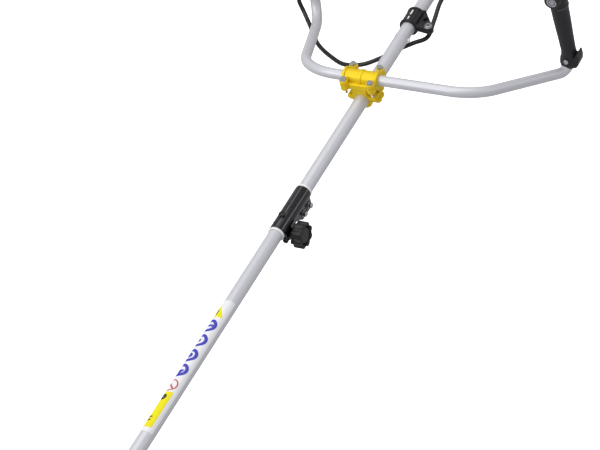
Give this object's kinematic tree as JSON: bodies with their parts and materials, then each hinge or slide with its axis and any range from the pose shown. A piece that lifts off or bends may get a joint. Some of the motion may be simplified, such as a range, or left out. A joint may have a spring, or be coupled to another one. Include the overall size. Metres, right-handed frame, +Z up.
{
  "type": "petrol string trimmer",
  "caption": "A petrol string trimmer with a silver split shaft, yellow handlebar bracket, bull-horn bars with black grips, guard, line head and rear engine",
  "frame": {"origin": "centre of the engine stand's underside, on the ground that the trimmer lies on", "axes": "+X along the drive tube towards the engine, -X towards the cutting head, -Y to the operator's left, +Z up"},
  "size_m": [1.8302, 0.6101, 0.316],
  "materials": {
    "silver_paint": "semi-gloss silver-white coat",
    "yellow_paint": "satin yellow coat on a casting",
    "black_plastic": "fine moulded grain",
    "black_metal": "satin black coat",
    "rubber": "matt black",
    "steel": "bright zinc plate",
    "aluminium": "machined",
    "cast": "as-cast light alloy",
    "yellow_plastic": "satin moulding",
    "tank_plastic": "milky translucent",
    "nylon_line": "bright nylon"
  },
  "bodies": {
    "engine_unit": {"crankcase": "cast", "cylinder": "aluminium", "piston": "aluminium", "connecting_rod": "steel", "spark_plug": "steel", "plug_cap": "rubber", "engine_cover": "yellow_plastic", "muffler": "black_metal", "carburettor": "aluminium", "air_filter_cover": "black_plastic", "fuel_tank": "tank_plastic", "tank_stand": "black_plastic", "starter_housing": "black_plastic", "clutch_housing": "cast", "upper_tube": "silver_paint", "coupling_body": "black_metal", "coupling_bolt_1": "steel", "coupling_bolt_2": "steel", "hanger_clamp": "black_plastic", "hanger_bolt": "steel", "bracket_saddle": "yellow_paint", "bracket_cap": "yellow_paint", "bracket_clamp": "yellow_paint", "bracket_bolt_1": "steel", "bracket_bolt_2": "steel", "bracket_bolt_3": "steel", "bracket_bolt_4": "steel", "left_bar": "silver_paint", "right_bar": "silver_paint", "left_grip": "black_plastic", "throttle_housing": "black_plastic", "throttle_cable": "rubber"},
    "crankshaft": {"crank_front": "steel", "crank_rear": "steel", "flywheel": "aluminium", "clutch_shoes": "cast"},
    "upper_drive": {"upper_drive_shaft": "steel", "clutch_drum": "steel"},
    "lower_unit": {"lower_tube": "silver_paint", "lower_bush": "black_plastic", "gearbox_housing": "black_metal", "guard": "black_plastic", "line_cutter": "steel"},
    "lower_drive": {"lower_drive_shaft": "steel", "pinion": "steel"},
    "cutting_head": {"output_gear": "steel", "spool_housing": "black_plastic", "spool": "black_plastic", "cutting_line": "nylon_line"},
    "bump_button": {"bump_knob": "yellow_plastic"},
    "coupling_screw": {"coupling_knob": "black_plastic"},
    "tube_latch": {"latch_button": "steel"},
    "tank_cap": {"fuel_cap": "black_plastic"},
    "choke": {"choke_lever": "black_plastic"},
    "primer": {"primer_bulb": "rubber"},
    "recoil_handle": {"starter_grip": "rubber"},
    "recoil_pulley": {"starter_pulley": "black_plastic"},
    "trigger": {"throttle_trigger": "yellow_plastic"},
    "lockout": {"throttle_lockout": "black_plastic"},
    "engine_switch": {"stop_switch": "yellow_plastic"}
  },
  "joints": [
    {"name": "crank_spin", "type": "hinge", "parent": "engine_unit", "child": "crankshaft", "pos_m": [0, 0, 0.15], "axis": [1, 0, 0], "continuous": true},
    {"name": "upper_drive_spin", "type": "hinge", "parent": "engine_unit", "child": "upper_drive", "pos_m": [-0.1, 0, 0.15], "axis": [1, 0, 0], "continuous": true},
    {"name": "lower_unit_pull", "type": "slide", "parent": "engine_unit", "child": "lower_unit", "axis": [-1, 0, 0], "range_m": [0, 0.05]},
    {"name": "lower_drive_spin", "type": "hinge", "parent": "lower_unit", "child": "lower_drive", "pos_m": [-1.2, 0, 0.15], "axis": [1, 0, 0], "continuous": true},
    {"name": "head_spin", "type": "hinge", "parent": "lower_unit", "child": "cutting_head", "pos_m": [-1.677, 0, 0.09804], "axis": [0.5, 0, 0.866], "continuous": true},
    {"name": "bump_press", "type": "slide", "parent": "cutting_head", "child": "bump_button", "axis": [0.5, 0, 0.866], "range_m": [0, 0.005], "stiffness_N_per_m": 1500},
    {"name": "coupling_knob_turn", "type": "hinge", "parent": "engine_unit", "child": "coupling_screw", "pos_m": [-0.887, -0.03, 0.126], "axis": [0, -1, 0], "range_deg": [0, 720]},
    {"name": "latch_lift", "type": "slide", "parent": "engine_unit", "child": "tube_latch", "axis": [0, 0, 1], "range_m": [0, 0.005], "stiffness_N_per_m": 800},
    {"name": "fuel_cap_turn", "type": "hinge", "parent": "engine_unit", "child": "tank_cap", "pos_m": [-0.008, -0.085, 0.055], "axis": [0, -1, 0], "range_deg": [0, 540]},
    {"name": "choke_turn", "type": "hinge", "parent": "engine_unit", "child": "choke", "pos_m": [0.03, -0.074, 0.224], "axis": [1, 0, 0], "range_deg": [0, 60]},
    {"name": "primer_press", "type": "slide", "parent": "engine_unit", "child": "primer", "axis": [0, 0, 1], "range_m": [0, 0.003], "stiffness_N_per_m": 600},
    {"name": "starter_pull", "type": "slide", "parent": "engine_unit", "child": "recoil_handle", "axis": [0, 0, 1], "range_m": [0, 0.6], "stiffness_N_per_m": 40},
    {"name": "starter_pulley_turn", "type": "hinge", "parent": "engine_unit", "child": "recoil_pulley", "pos_m": [0.076, 0, 0.15], "axis": [-1, 0, 0], "range_deg": [0, 1440]},
    {"name": "trigger_squeeze", "type": "hinge", "parent": "engine_unit", "child": "trigger", "pos_m": [-0.313, 0.2255, 0.242], "axis": [0, -1, 0], "range_deg": [0, 18], "stiffness_Nm_per_rad": 0.6},
    {"name": "lockout_squeeze", "type": "hinge", "parent": "engine_unit", "child": "lockout", "pos_m": [-0.2785, 0.2255, 0.246], "axis": [0, 1, 0], "range_deg": [0, 8], "stiffness_Nm_per_rad": 0.8},
    {"name": "switch_slide", "type": "slide", "parent": "engine_unit", "child": "engine_switch", "axis": [0, 0, 1], "range_m": [0, 0.005]}
  ],
  "couplings": [
    {"joint": "lower_drive_spin", "follows": "upper_drive_spin", "ratio": 1},
    {"joint": "head_spin", "follows": "upper_drive_spin", "ratio": 0.75},
    {"joint": "starter_pulley_turn", "follows": "starter_pull", "rad_per_m": 38.462}
  ]
}
